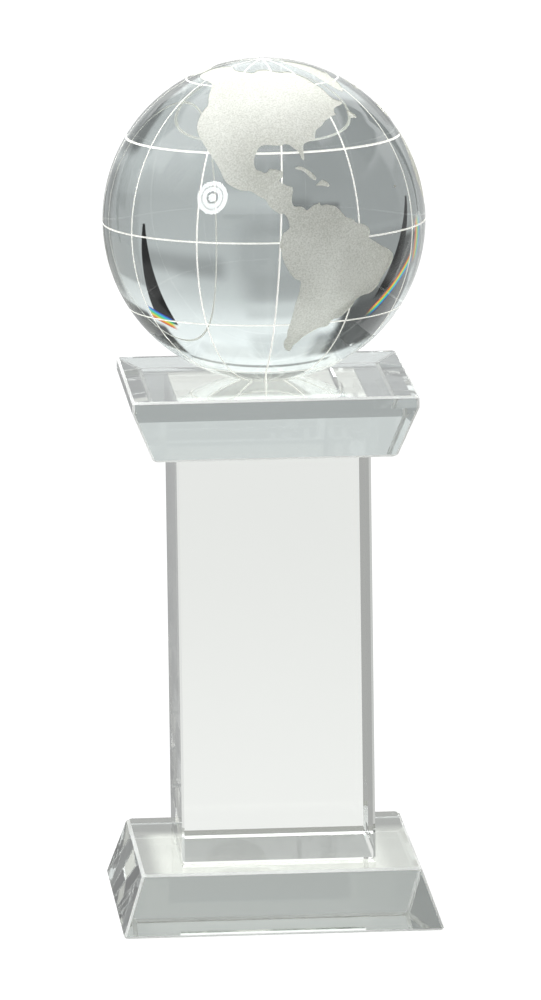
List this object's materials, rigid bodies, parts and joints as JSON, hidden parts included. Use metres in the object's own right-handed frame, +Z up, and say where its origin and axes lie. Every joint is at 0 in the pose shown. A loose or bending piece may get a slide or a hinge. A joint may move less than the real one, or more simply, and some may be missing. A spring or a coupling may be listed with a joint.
{
  "type": "column trophy",
  "caption": "Solid crystal globe with a frosted world map, bonded on a flared cap block, a square column and a wider base block.",
  "frame": {"origin": "centre of the base block's underside", "axes": "+Z up along the column, the front of the trophy faces -Y, +X to the viewer's right"},
  "size_m": [0.08, 0.08, 0.2125],
  "materials": {
    "block_crystal": "clear polished optical crystal",
    "globe_crystal": "clear polished optical crystal with a white sandblasted map and grid lines",
    "bond_adhesive": "clear cured UV adhesive"
  },
  "bodies": {
    "root": {"base_block": "block_crystal", "base_bond_film": "bond_adhesive", "column_block": "block_crystal", "cap_bond_film": "bond_adhesive", "cap_block": "block_crystal", "globe_bond_film": "bond_adhesive", "globe": "globe_crystal"}
  },
  "joints": []
}
